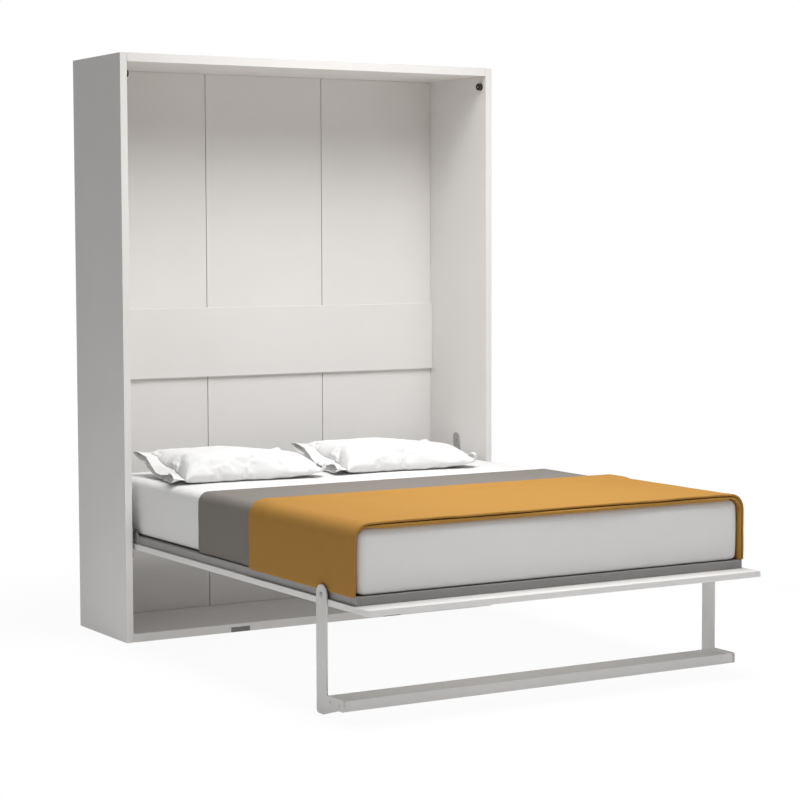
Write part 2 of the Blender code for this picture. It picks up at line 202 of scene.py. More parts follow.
def woven(name, colour, thread, weave_shade=0.80, relief=0.00035, roughness=0.92):
    """Plain-woven cloth; its UV map is in metres, so thread is the real pitch of the weave."""
    look = Look(name, Specular_IOR_Level=0.12, Sheen_Weight=0.10, Sheen_Roughness=0.5,
                Sheen_Tint=(*colour, 1.0))
    cloth = look.node("UVMap", uv_map="cloth").outputs["UV"]
    wobble = look.noise(90.0, 2.0, 0.5, cloth)
    turns = 2 * math.pi / thread
    along = look.calc("MULTIPLY", look.axis("X", cloth), turns)
    along = look.calc("MULTIPLY_ADD", wobble, 1.6, along)
    across = look.calc("MULTIPLY", look.axis("Y", cloth), turns)
    across = look.calc("MULTIPLY_ADD", wobble, -1.6, across)
    weave = look.calc("MULTIPLY", look.calc("SINE", along), look.calc("SINE", across))
    threads = look.spread(weave, -1.0, 1.0, 0.0, 1.0)
    fuzz = look.noise(1.1 / thread, 3.0, 0.7, cloth)
    height = look.calc("MULTIPLY_ADD", fuzz, 0.6, threads)
    slub = look.noise(14.0, 5.0, 0.6, look.stretched((1.0, 6.0, 1.0), cloth))
    # painted shade: the weave's low parts, between the threads, are coloured darker
    base = look.blend(look.spread(height, 0.1, 1.2, 0.55, 0.0), colour, lighter(colour, weave_shade))
    patch = look.spread(slub, 0.4, 0.7, 0.0, 0.6)
    look.set("Base Color", look.blend(patch, base, lighter(colour, 1.05)))
    look.set("Roughness", look.spread(slub, 0.3, 0.7, roughness - 0.05, roughness + 0.05))
    look.set("Normal", look.bump(height, relief, 0.7))
    return look.material


def knitted(name, colour):
    """Stretch knit of the mattress cover: fine ribs and soft shallow hollows, with painted shade
    between the ribs and on the hollows' noise.
    """
    look = Look(name, Specular_IOR_Level=0.2, Sheen_Weight=0.2, Sheen_Roughness=0.5)
    rib, row = 0.0024, 0.0017
    x = look.calc("MULTIPLY", look.axis("X"), 2 * math.pi / rib)
    y = look.calc("MULTIPLY", look.axis("Y"), 2 * math.pi / rib)
    z = look.calc("MULTIPLY", look.axis("Z"), 2 * math.pi / row)
    ribs = look.calc("ADD", look.calc("SINE", look.calc("ADD", x, y)), look.calc("SINE", z))
    fuzz = look.noise(900.0, 3.0, 0.7)
    height = look.calc("MULTIPLY_ADD", fuzz, 1.4, look.spread(ribs, -2.0, 2.0, 0.0, 1.0))
    soft = look.noise(9.0, 4.0, 0.55)
    # painted shade: the knit's low parts, between the ribs, are coloured darker
    base = look.blend(look.spread(height, 0.3, 1.6, 0.4, 0.0), colour, lighter(colour, 0.88))
    # a faint painted shade, up to 4% darker, in patches that follow the same noise as the soft
    # hollows' bump
    hollows = look.spread(soft, 0.35, 0.7, 0.0, 0.5)
    look.set("Base Color", look.blend(hollows, base, lighter(colour, 0.96)))
    look.set("Roughness", look.spread(soft, 0.3, 0.7, 0.85, 0.95))
    coarse = look.bump(soft, 0.004, 0.25)
    look.set("Normal", look.bump(height, 0.00025, 0.6, coarse))
    return look.material


def dress(material, *names):
    """Give CAD nodes a material."""
    for name in names:
        slots = NODES[name].data.materials
        if len(slots) == 0:
            slots.append(material)
        for i in range(len(slots)):
            slots[i] = material


def both(*names):
    """The left and the right node of each name."""
    return [name + side for name in names for side in ("_left", "_right")]


def dress_frame():
    """Materials for all the boards, steel and hardware."""
    white = (0.80, 0.785, 0.77)
    band = 0.0010             # thickness of the boards' edging
    cabinet = melamine("white_board", white, [("Y", FRONT_EDGE + band)])
    names = both("side_panel", "back_panel")
    dress(cabinet, "top_panel", "base_panel", "headboard_panel", "back_panel_middle",
          "leg_shelf", *names)
    lines = [("X", PANEL_LOW.x + band), ("X", PANEL_HIGH.x - band)]
    lines += [("Y", PANEL_LOW.y + band), ("Y", PANEL_HIGH.y - band)]
    dress(melamine("front_board", white, lines), "front_panel")
    rails = ("rail_left", "rail_right", "rail_head", "rail_foot")
    dress(coated_steel("frame_paint", (0.33, 0.325, 0.32)), "centre_beam", "mattress_stop", *rails)
    dress(coated_steel("light_paint", (0.67, 0.665, 0.655), 0.40), *both("leg_plate"))
    plates = both("pivot_plate", "strut_bracket", "arm_plate")
    dress(coated_steel("plate_steel", (0.36, 0.36, 0.35), 0.38), *plates)
    dress(coated_steel("strut_paint", (0.07, 0.07, 0.072), 0.35), *both("strut_cylinder"))
    bolts = both("buffer_screw", "bracket_bolt", "strut_stud", "pivot_pin", "leg_bolt")
    bolts += both("shelf_screw_rear", "shelf_screw_front")
    dress(bare_steel("zinc_steel", (0.52, 0.52, 0.50), 0.34), *bolts)
    dress(bare_steel("chrome_rod", (0.80, 0.80, 0.80), 0.12, (1.0, 0.2, 4.0)), *both("strut_rod"))
    # the glides' grey is partly their plastic and partly painted shade, standing in for the shade
    # inside the base's notches
    dress(moulded("grey_plastic", (0.21, 0.21, 0.205), 0.55), *both("base_glide"))
    dress(moulded("black_rubber", (0.018, 0.018, 0.018), 0.75), *both("stop_buffer"))
    dress(birch("slat_birch"), *SLATS)


# ---- mesh helpers -------------------------------------------------------------------
def mesh_object(name, points, faces, material, uv=None):
    """A smooth object from points and faces; uv is a place on flat cloth for each point."""
    mesh = bpy.data.meshes.new(name)
    mesh.from_pydata([tuple(p) for p in points], [], faces)
    mesh.update()
    if uv is not None:
        layer = mesh.uv_layers.new(name="cloth")
        corner = np.zeros(len(mesh.loops), np.int32)
        mesh.loops.foreach_get("vertex_index", corner)
        layer.data.foreach_set("uv", np.asarray(uv, np.float32)[corner].ravel())
    mesh.polygons.foreach_set("use_smooth", [True] * len(mesh.polygons))
    mesh.materials.append(material)
    made = bpy.data.objects.new(name, mesh)
    bpy.context.scene.collection.objects.link(made)
    return made


def waves(seed, count, longest, shortest):
    """A smooth repeatable ripple over a plane: a sum of sine waves, from -1 to 1 or so."""
    random = np.random.default_rng(seed)
    lengths = np.exp(random.uniform(math.log(shortest), math.log(longest), count))
    turns = random.uniform(0, 2 * math.pi, count)
    phases = random.uniform(0, 2 * math.pi, count)

    def ripple(u, v):
        total = np.zeros(np.broadcast(u, v).shape)
        for length, turn, phase in zip(lengths, turns, phases):
            way = u * math.cos(turn) + v * math.sin(turn)
            total += np.sin(2 * math.pi * way / length + phase) * (length / longest) ** 0.5
        return total / math.sqrt(count)

    return ripple


def smooth_step(x):
    """From 0 to 1 as x does, level at both ends."""
    x = np.clip(x, 0.0, 1.0)
    return x * x * (3 - 2 * x)


def edge_fine(length, rim, steps, middle):
    """Places along a length, close together within rim of both ends."""
    fine = rim * (1 - np.cos(np.linspace(0, math.pi / 2, steps + 1)))
    count = max(2, int(round((length - 2 * rim) / middle)))
    inner = np.linspace(rim, length - rim, count + 1)
    return np.concatenate([fine[:-1], inner, (length - fine)[::-1][1:]])


def two_layers(rows, columns):
    """Vertex numbers of an upper and a lower grid that share their rim, and all their faces."""
    upper = np.arange(rows * columns).reshape(rows, columns)
    lower = upper.copy()
    inner = (rows - 2, columns - 2)
    lower[1:-1, 1:-1] = rows * columns + np.arange(inner[0] * inner[1]).reshape(inner)
    faces = []
    for grid, turn in ((upper, 1), (lower, -1)):
        quads = np.stack([grid[:-1, :-1], grid[1:, :-1], grid[1:, 1:], grid[:-1, 1:]], -1)
        faces += quads.reshape(-1, 4)[:, ::turn].tolist()
    return faces


def layered(upper, lower):
    """The values at those vertices, from a value at each place of the two grids."""
    size = upper.shape[-1]
    return np.concatenate([upper.reshape(-1, size), lower[1:-1, 1:-1].reshape(-1, size)])


def fix_outward(obj):
    """Turn a closed mesh's faces outwards."""
    bm = bmesh.new()
    bm.from_mesh(obj.data)
    if bm.calc_volume(signed=True) < 0:
        bmesh.ops.reverse_faces(bm, faces=bm.faces)
    bm.to_mesh(obj.data)
    bm.free()


# ---- mattress -----------------------------------------------------------------------
SIDE_ROUND = 0.034        # radius of its long top edges
END_ROUND = 0.020         # how far its foot and head edges round inwards
TOP_ROUND = 0.030         # how far they round downwards
BOTTOM_ROUND = 0.014
BARREL = 0.003            # how far its sides swell at half height
ROUND_STEPS = 6           # mesh steps in a rounded edge
MATTRESS_STEP = 0.026     # mesh spacing elsewhere
DIMPLE = 0.0007           # depth of the cover's soft hollows


def box_grid(half, rounds, middle):
    """A grid on a box's surface whose outer lines sit within the rounded edges."""
    lines = []
    for h, r in zip(half, rounds):
        lines.append(edge_fine(2 * h, r, ROUND_STEPS, middle) - h)
    index, points, faces = {}, [], []

    def corner(i, j, k):
        key = (i, j, k)
        if key not in index:
            index[key] = len(points)
            points.append((lines[0][i], lines[1][j], lines[2][k]))
        return index[key]

    last = [len(line) - 1 for line in lines]
    for axis in range(3):
        a, b = [n for n in range(3) if n != axis]
        for end in (0, last[axis]):
            for i in range(last[a]):
                for j in range(last[b]):
                    quad = []
                    for di, dj in ((0, 0), (1, 0), (1, 1), (0, 1)):
                        key = [0, 0, 0]
                        key[axis], key[a], key[b] = end, i + di, j + dj
                        quad.append(corner(*key))
                    outward = (end > 0) != (axis == 1)
                    faces.append(quad if outward else quad[::-1])
    return np.array(points), faces


def make_mattress(material):
    """A box with rounded edges, slightly swollen sides and soft hollows."""
    low, high = MATTRESS_LOW, MATTRESS_HIGH
    centre, half = np.array((low + high) / 2), np.array((high - low) / 2)
    points, faces = box_grid(half, (SIDE_ROUND, END_ROUND, TOP_ROUND), MATTRESS_STEP)
    rounds = np.empty_like(points)
    rounds[:, 0], rounds[:, 1] = SIDE_ROUND, END_ROUND
    rounds[:, 2] = np.where(points[:, 2] > 0, TOP_ROUND, BOTTOM_ROUND)
    core = np.clip(points, -(half - rounds), half - rounds)
    out = (points - core) / rounds
    # the lower edges use the upper edges' grid lines, drawn together to their own radius
    share = np.clip(out, -1, 1)
    length = np.linalg.norm(share, axis=1, keepdims=True)
    biggest = np.abs(share).max(axis=1, keepdims=True)
    ball = np.where(length > 1e-9, share / np.maximum(length, 1e-9) * biggest, 0)
    placed = core + ball * rounds
    u, v, w = (placed / half).T
    swell = BARREL * (1 - np.clip(np.abs(w), 0, 1) ** 3)
    placed[:, 0] -= np.sign(u) * np.abs(u) ** 8 * (BARREL - swell)
    placed[:, 1] -= np.sign(v) * np.abs(v) ** 8 * (BARREL - swell)
    ripple = waves(11, 14, 0.9, 0.16)
    soft = ripple(placed[:, 0] + 2 * placed[:, 2], placed[:, 1]) * DIMPLE
    placed[:, 1] += soft * np.abs(v) ** 6 * np.sign(v)
    placed[:, 2] += np.where(w > 0.5, -np.abs(soft), 0)
    return mesh_object("mattress_body", placed + centre, faces, material)


# ---- throws -------------------------------------------------------------------------
STEP_ACROSS, STEP_ALONG = 0.012, 0.014     # mesh spacing
RIM_STEPS = 5             # mesh steps from a rim to the full thickness
LAYER_GAP = 0.0008        # between the two layers of a folded throw
FOLD_PLACES = 9           # rows of the mesh round the fold
HEM_CORNER = 0.014        # radius of the hems' corners
HEM_WANDER = 0.0012       # how much the side hems wander
TOP_RIPPLE = 0.0006       # depth of the soft ripples on top
HANG_RIPPLE, HANG_FOLDS = 0.0010, 0.0012     # what is added to them where the cloth hangs
GREY_TUCK = 0.07          # how far the grey throw runs in below the ochre one
RISE_START = 0.115        # how far from its head the ochre throw starts to rise onto it
RISE_WAY = 0.03           # and the way in which it does

# the ochre throw's foot, where both its layers end
FOOT_ZONE = 0.06          # how far from the foot the layers part
PART_LEAST, PART_MORE = 0.0012, 0.0016       # the gap that opens, and how much it varies
FOOT_DROOP = 0.0030       # how much the lower layer sags
THICK_HEM = 0.50          # how much thicker the lower layer is, as a share
FOOT_UNEVEN = 0.0018      # how unevenly the layers end
UPPER_SHORT = 0.004       # how far the upper layer stays back on top
LOWER_SHORT = 0.018       # how far the lower layer stays back on the left side


def over_mattress(s, reach):
    """Points and outward normals of the line across the mattress.

    s is the way along it from the middle of the top, and reach the distance off the surface.
    """
    flat = MATTRESS_HIGH.x - SIDE_ROUND
    quarter = SIDE_ROUND * math.pi / 2
    side = np.sign(s)
    way = np.abs(s)
    turn = np.clip((way - flat) / quarter, 0, 1) * math.pi / 2
    down = np.maximum(way - flat - quarter, 0)
    nx, nz = np.sin(turn), np.cos(turn)
    x = np.minimum(way, flat) + (SIDE_ROUND + reach) * nx
    z = MATTRESS_HIGH.z - SIDE_ROUND + (SIDE_ROUND + reach) * nz - down
    return side * x, z, side * nx, nz


def single_line(head, foot, thickness, gap):
    """One layer's middle line from head to foot, as folded_line gives it."""
    rim, length = thickness / 2, head - foot
    way = edge_fine(length, rim, RIM_STEPS, STEP_ALONG)
    none = np.zeros(len(way))
    return head - way, none + (gap + rim), none, none + 1, np.minimum(way, length - way), none


def folded_line(head, foot, thickness, gap):
    """The middle line of a throw folded once: below from foot to head, and back above.

    Gives Y, the height off the mattress, the two parts of the normal, the way to the foot,
    and the share of the upper layer, from 0 to 1.
    """
    rim, pitch = thickness / 2, thickness + LAYER_GAP
    bend = pitch / 2
    run = head - foot - (bend + rim)
    straight = edge_fine(2 * run, rim, RIM_STEPS, STEP_ALONG)
    below = straight[straight < run]
    turns = np.linspace(0, math.pi, FOLD_PLACES)
    low, none, ones = gap + rim, np.zeros(len(below)), np.ones(len(below))
    y = np.concatenate([foot + below, foot + run + bend * np.sin(turns), foot + below[::-1]])
    height = np.concatenate([none + low, low + bend - bend * np.cos(turns), none + low + pitch])
    normal_y = np.concatenate([none, np.sin(turns), none])
    normal_up = np.concatenate([-ones, -np.cos(turns), ones])
    to_end = np.concatenate([below, np.full(len(turns), run), below[::-1]])
    upper = np.concatenate([none, (1 - np.cos(turns)) / 2, ones])
    return y, height, normal_y, normal_up, to_end, upper


def throw(name, head, foot, hem, thickness, gap, layers, seed, material, over=0.0):
    """A throw laid across the mattress: one layer, or folded once with its fold to the head.

    head and foot are Y of its two ends, hem the height of its lower edges.  Near its head end
    it rises by over, for a cloth that runs in below it.
    """
    folded = layers == 2
    flat = MATTRESS_HIGH.x - SIDE_ROUND
    half_s = flat + SIDE_ROUND * math.pi / 2 + MATTRESS_HIGH.z - SIDE_ROUND - hem
    rim = thickness / 2
    s = edge_fine(2 * half_s, rim, RIM_STEPS, STEP_ACROSS) - half_s
    line = (folded_line if folded else single_line)(head, foot, thickness, gap)
    across, y = np.meshgrid(s, line[0], indexing="ij")
    height, normal_y, normal_up, to_end, upper = (
        np.broadcast_to(a, across.shape) for a in line[1:])
    # the hems' corners are rounded, and the side hems wander a little
    near = np.clip(np.minimum(to_end, head - y) if folded else to_end, 0, HEM_CORNER)
    cut = HEM_CORNER - np.sqrt(np.maximum(HEM_CORNER ** 2 - (HEM_CORNER - near) ** 2, 0))
    wander = waves(seed, 5, 0.8, 0.2)(y, np.sign(across) * 3.0) * HEM_WANDER
    along = across * (half_s - cut + wander) / half_s
    # thickness falls to nothing at the rims
    inside = np.minimum(half_s - np.abs(across), to_end)
    share = np.clip(inside / rim, 0, 1)
    thick = rim * np.sqrt(np.maximum(1 - (1 - share) ** 2, 0))
    # soft ripples, stronger where the cloth hangs
    drop = smooth_step((np.abs(across) - flat) / 0.12)
    soft = waves(seed + 1, 16, 0.7, 0.10)(along, y) * (TOP_RIPPLE + HANG_RIPPLE * drop)
    soft = soft + waves(seed + 2, 6, 0.5, 0.16)(along, y * 0.25) * HANG_FOLDS * drop
    # at the foot the layers part a little
    at_foot = smooth_step(1 - (y - foot) / FOOT_ZONE)
    part = waves(seed + 3, 7, 0.55, 0.16)(along, 0 * y)
    lift = (PART_LEAST + np.maximum(part, 0) * PART_MORE) * upper * at_foot
    rise = over * smooth_step((y - (head - RISE_START)) / RISE_WAY)
    reach = height + np.abs(soft) + lift + rise
    back = 0
    if folded:
        # the lower layer shows below the upper one on top, and hides behind it on the left
        droop = smooth_step(1 - (y - foot) / 0.024) * smooth_step((flat - np.abs(across)) / 0.04)
        reach = reach - FOOT_DROOP * (1 - upper) * droop
        thick = thick * (1 + THICK_HEM * (1 - upper) * droop)
        on_top = smooth_step((flat - np.abs(across)) / 0.05)
        on_left = smooth_step((-across - flat) / 0.05)
        back = upper * UPPER_SHORT * on_top + (1 - upper) * LOWER_SHORT * on_left
    uneven = waves(seed + 4, 7, 0.7, 0.2)(along, upper * 5.0) * FOOT_UNEVEN
    x, z, nx, nz = over_mattress(along, reach)
    # the sheet's two faces, and its flat size for the weave
    middle = np.stack([x, y + at_foot * (uneven + back), z], -1)
    outward = np.stack([normal_up * nx, normal_y, normal_up * nz], -1)
    top = middle + outward * thick[..., None]
    under = middle - outward * thick[..., None]
    steps = np.hypot(np.diff(line[0]), np.diff(line[1]))
    steps = np.concatenate([[0], np.cumsum(steps)])
    uv = np.stack([along, np.broadcast_to(steps, along.shape)], -1)
    made = mesh_object(name, layered(top, under), two_layers(*across.shape), material,
                       layered(uv, uv))
    fix_outward(made)
    return made, (2 * half_s, float(steps[-1]) + 2 * rim)


# ---- pillows ------------------------------------------------------------------------
PILLOW_LENGTH = 0.540     # stuffed part, from the seam beside the open end to the closed end
PILLOW_WIDTH = 0.425
FLANGE = 0.048            # the empty end of the pillowcase
PILLOW_YAW = math.radians(-5.3)
PILLOW_ROWS, PILLOW_COLUMNS = 85, 65
PILLOW_FRAMES = 28
PILLOW_PRESSURE = 3.0
CASE_SCALE = 1.25         # the case is simulated at this size, where its cloth folds softly
EAR = 0.050               # empty corners at the closed end
EAR_LENGTH, EAR_RADIUS = 0.084, 0.0160     # the near one is rolled up
EAR_WAY = np.array((0.80, -0.60))          # the way that it points
PILLOW_CROWN = 0.7120     # height of the middle
CROWN_FALL = 0.016        # how much lower the closed end's half is
PILLOW_FLOOR = MATTRESS_HIGH.z + 0.0016
SEAM_FRONT = 0.641        # height of the seam along the near side
SEAM_BACK, SEAM_OPEN, SEAM_TIP = 0.030, 0.020, 0.028     # its rises, as seam_height says
SIDE_PUCKER, END_PUCKER, MOUTH_PUCKER = 0.0024, 0.0014, 0.0056     # depth of the gathers
CORNER_EMPTY = 0.035      # how far in the closed end's corners are empty
CORNER_TAPER = 0.210      # the way in which they fill
CASE_CLOTH = 0.0016       # half the distance between the case's layers beside its seam
CASE_SOFT = 0.0016        # soft unevenness of the filling
SEWN_SWELL = 0.045        # half thickness before the simulation


def pillow_grid():
    """Share of the length, from 0 to 1, and of the half width, from -1 to 1, on a grid."""
    a = np.linspace(0.0, 1.0, PILLOW_ROWS)
    n = np.linspace(-1.0, 1.0, PILLOW_COLUMNS)
    return np.meshgrid(a, n, indexing="ij")


def from_corner(a, n):
    """The way from the nearer corner of the closed end, along one seam and then the other."""
    return (1 - a) * PILLOW_LENGTH + (1 - np.abs(n)) * PILLOW_WIDTH / 2


def sewn_flat(a, n):
    """Two layers of cloth, a little apart, before the stuffing swells them."""
    height = SEWN_SWELL * np.sin(math.pi * a) ** 0.55 * np.maximum(1 - n * n, 0) ** 0.55
    rough = np.random.default_rng(5).normal(0, 0.0004, a.shape) * (height > 0.001)
    flat = np.stack([a * PILLOW_LENGTH, n * PILLOW_WIDTH / 2, height + rough], -1)
    return flat, flat * (1, 1, -1)


def stuffed(upper, lower, a, n):
    """The same two layers after a cloth simulation with the stuffing's pressure inside."""
    rows, columns = a.shape
    mesh = bpy.data.meshes.new("case")
    flat = layered(upper, lower) * CASE_SCALE
    mesh.from_pydata(flat.tolist(), [], two_layers(rows, columns))
    case = bpy.data.objects.new("case", mesh)
    bpy.context.scene.collection.objects.link(case)
    fix_outward(case)
    filling = np.clip((from_corner(a, n) - EAR) / EAR, 0, 1)[..., None]
    group = case.vertex_groups.new(name="filling")
    for i, weight in enumerate(layered(filling, filling)[:, 0]):
        group.add([i], float(weight), "REPLACE")
    cloth = case.modifiers.new("cloth", "CLOTH")
    rules = cloth.settings
    rules.quality, rules.mass, rules.air_damping = 5, 0.15, 4.0
    rules.tension_stiffness = rules.compression_stiffness = 18.0
    rules.shear_stiffness, rules.bending_stiffness = 9.0, 0.3
    rules.tension_damping = rules.compression_damping = 10.0
    rules.shear_damping, rules.bending_damping = 8.0, 2.0
    rules.use_pressure = True
    rules.uniform_pressure_force = PILLOW_PRESSURE
    rules.vertex_group_pressure = "filling"
    rules.effector_weights.gravity = 0.0
    cloth.point_cache.frame_end = PILLOW_FRAMES + 1
    for frame_number in range(1, PILLOW_FRAMES + 1):
        bpy.context.scene.frame_set(frame_number)
    done = case.evaluated_get(bpy.context.evaluated_depsgraph_get())
    points = np.zeros(len(done.data.vertices) * 3)
    done.data.vertices.foreach_get("co", points)
    bpy.data.objects.remove(case)
    bpy.context.scene.frame_set(1)
    points = points.reshape(-1, 3) / CASE_SCALE
    upper = points[:rows * columns].reshape(rows, columns, 3)
    lower = upper.copy()
    lower[1:-1, 1:-1] = points[rows * columns:].reshape(rows - 2, columns - 2, 3)
    return upper, lower


def seam_height(a, n):
    """Height of the seam: it rises to the back, the open end and the far closed corner."""
    back = smooth_step((n + 0.3) / 1.3)
    lifted = (1 - a) ** 3 * smooth_step((n - 0.2) / 0.8)
    front = SEAM_FRONT - 0.011 * smooth_step(a / 0.9)
    front = front - 0.016 * smooth_step(1 - a / 0.07) * smooth_step(-n / 0.9)
    tip = smooth_step((a - 0.80) / 0.20) * smooth_step((n - 0.50) / 0.50)
    return front + SEAM_BACK * back + SEAM_OPEN * lifted + SEAM_TIP * tip


def gathers(a, n, seed):
    """Small puckers that die out away from the seams."""
    along, across = a * PILLOW_LENGTH, n * PILLOW_WIDTH / 2
    side = PILLOW_WIDTH / 2 - np.abs(across)
    end = PILLOW_LENGTH - along

    def fade(distance, reach):
        share = distance / reach
        return share * np.exp(1 - share)

    folds = waves(seed, 9, 0.11, 0.032)
    total = SIDE_PUCKER * fade(side, 0.026) * folds(along, np.sign(n) * 2.0)
    total += END_PUCKER * fade(end, 0.020) * folds(across, 5.0 + 0 * n)
    total += MOUTH_PUCKER * fade(along, 0.042) * folds(across * 1.3, 9.0 + 0 * n)
    return total


def laid_down(upper, lower, a, n):
    """Rest the swollen shape on the mattress: full above, flat below, seam between."""
    seam = seam_height(a, n)
    tallest = max(upper[..., 2].max(), -lower[..., 2].min())
    inside = np.minimum(np.minimum(a, 1 - a) * PILLOW_LENGTH,
                        (1 - np.abs(n)) * PILLOW_WIDTH / 2)
    cloth = CASE_CLOTH * np.clip(inside / 0.006, 0, 1) ** 0.5
    # both corners of the closed end are empty, so the pillow tapers to them
    corners = smooth_step((from_corner(a, n) - CORNER_EMPTY) / CORNER_TAPER) ** 0.70
    made = []
    for layer, side in ((upper, 1), (lower, -1)):
        swell = np.clip(layer[..., 2] * side / tallest, 0, 1)
        swell = np.sin(swell * math.pi / 2) * corners
        soft = waves(61, 10, 0.45, 0.14)(a * PILLOW_LENGTH, n * PILLOW_WIDTH) * CASE_SOFT
        if side > 0:
            fall = CROWN_FALL * smooth_step((a - 0.45) / 0.35)
            z = seam + swell * (PILLOW_CROWN - fall - seam) + soft * swell
            z = z + gathers(a, n, 71) + cloth
        else:
            z = seam - (1 - (1 - swell) ** (3.2 - 2.0 * a)) * (seam - PILLOW_FLOOR) - cloth
            z = np.maximum(z + gathers(a, n, 83) * (1 - swell), PILLOW_FLOOR)
        made.append(np.stack([layer[..., 0], layer[..., 1], z], -1))
    upper, lower = made
    low = upper[..., :2].min((0, 1))
    high = upper[..., :2].max((0, 1))
    size = np.array((PILLOW_LENGTH, PILLOW_WIDTH))
    start = np.array((FLANGE - (PILLOW_LENGTH + FLANGE) / 2, -PILLOW_WIDTH / 2))
    for layer in made:
        layer[..., :2] = (layer[..., :2] - low) / (high - low) * size + start
        layer[..., 0] += EAR_LENGTH * a ** 2 * (1 - n) / 2       # cloth that the ear takes up
    return upper, lower


def curl_corner(points, corner):
    """Roll the empty corner of the case up, like a turned-up ear."""
    s = (points[..., :2] - corner) @ EAR_WAY + EAR_LENGTH
    bent = s > 0
    angle = s[bent] / EAR_RADIUS
    shift = EAR_RADIUS * np.sin(angle) - s[bent]
    points[bent, 0] += EAR_WAY[0] * shift
    points[bent, 1] += EAR_WAY[1] * shift
    points[bent, 2] += EAR_RADIUS * (1 - np.cos(angle))


def pillow_layers():
    """The upper and the lower layer of a stuffed pillowcase, laid on the mattress."""
    a, n = pillow_grid()
    upper, lower = sewn_flat(a, n)
    upper, lower = stuffed(upper, lower, a, n)
    upper, lower = laid_down(upper, lower, a, n)
    corner = upper[-1, 0, :2].copy()
    for layer in (upper, lower):
        curl_corner(layer, corner)
    return upper, lower


FLANGE_ROWS = 11
RUFFLE_ALONG, RUFFLE_UP = 0.003, 0.0022     # how much the mouth wavers
FLANGE_FLARE = 0.015      # how much wider the mouth is, as a share
FLANGE_CLOTH = 0.0022     # thickness
FLANGE_FLOOR = MATTRESS_HIGH.z + 0.003
# the open end's rim: share of the half width, height of its upper and lower edge, length
FLANGE_RIM = (
    (-1.00, 0.632, 0.632, 0.046), (-0.86, 0.650, 0.613, 0.050), (-0.50, 0.640, 0.610, 0.046),
    (-0.12, 0.624, 0.612, 0.050), (0.12, 0.630, 0.618, 0.052), (0.50, 0.664, 0.637, 0.042),
    (0.86, 0.699, 0.668, 0.050), (1.00, 0.694, 0.694, 0.052),
)


def pillow_flange(name, upper, material):
    """The open end of the pillowcase: a flattened sleeve with a wandering mouth."""
    root = upper[0]
    across = np.linspace(-1.0, 1.0, len(root))
    places, tops, unders, lengths = np.array(FLANGE_RIM).T
    soften = np.array((1, 4, 6, 4, 1)) / 16.0

    def eased(values):
        line = np.interp(across, places, values)
        for _ in range(3):
            line[2:-2] = np.convolve(line, soften, "valid")
        return line

    reach = eased(lengths)
    ruffle = waves(97, 6, 0.16, 0.05)
    share = np.linspace(0.0, 1.0, FLANGE_ROWS)[:, None]
    rings = []
    for edge, seed in ((eased(tops), 0.0), (eased(unders), 0.05)):
        wavy = ruffle(across * PILLOW_WIDTH / 2, seed)
        inner = np.sin(np.pi * (across + 1) / 2)
        x = root[:, 0] - reach * share - RUFFLE_ALONG * wavy * share * inner
        y = root[:, 1] * (1 + FLANGE_FLARE * share ** 2)
        bow = smooth_step(share * 0.85) / smooth_step(np.array(0.85))
        z = root[:, 2] + (edge - root[:, 2]) * bow + RUFFLE_UP * wavy * share * inner
        z = np.maximum(z, FLANGE_FLOOR)
        rings.append(np.stack([x, y + 0 * x, z], -1))
    top, under = rings
    under[:, 0], under[:, -1] = top[:, 0], top[:, -1]
    loop = np.concatenate([top, under[:, -2:0:-1]], axis=1)
    flat = np.stack([loop[..., 0], loop[..., 1]], -1)
    rows, columns = loop.shape[:2]
    at = np.arange(rows * columns).reshape(rows, columns)
    nxt = np.roll(at, -1, axis=1)
    faces = np.stack([at[:-1], nxt[:-1], nxt[1:], at[1:]], -1).reshape(-1, 4).tolist()
    made = mesh_object(name, loop.reshape(-1, 3), faces, material, flat.reshape(-1, 2))
    hem = made.vertex_groups.new(name="hem")
    hem.add(at.ravel().tolist(), 0.5, "REPLACE")
    hem.add(at[-4:].ravel().tolist(), 1.0, "REPLACE")
    finish_cloth(made, thickness=FLANGE_CLOTH, group="hem")
    return made


def finish_cloth(obj, thickness=None, group=None):
    """Subdivide a piece of cloth, after giving it a thickness if it has none."""
    if thickness:
        solid = obj.modifiers.new("thickness", "SOLIDIFY")
        solid.thickness = thickness
        solid.offset = 0.0
        solid.vertex_group = group
        solid.thickness_vertex_group = 0.3
    finer = obj.modifiers.new("finer", "SUBSURF")
    finer.levels = finer.render_levels = 1


def make_pillows(material):
    """Both pillows: a stuffed body each, and its case's open end as a second piece."""
    upper, lower = pillow_layers()
    faces = two_layers(PILLOW_ROWS, PILLOW_COLUMNS)
    for label in ("left", "right"):
        node = "pillow_" + label
        low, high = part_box(node)
        middle = (low + high) / 2
        place = Matrix.Translation((middle.x, middle.y, 0)) @ Matrix.Rotation(PILLOW_YAW, 4, "Z")
        body = mesh_object(node + "_body", layered(upper, lower), faces, material,
                           layered(upper[..., :2], lower[..., :2]))
        fix_outward(body)
        finish_cloth(body)
        flange = pillow_flange(node + "_flange", upper, material)
        for piece in (body, flange):
            piece.data.transform(place)
            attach(piece, "bed")
        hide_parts(node)


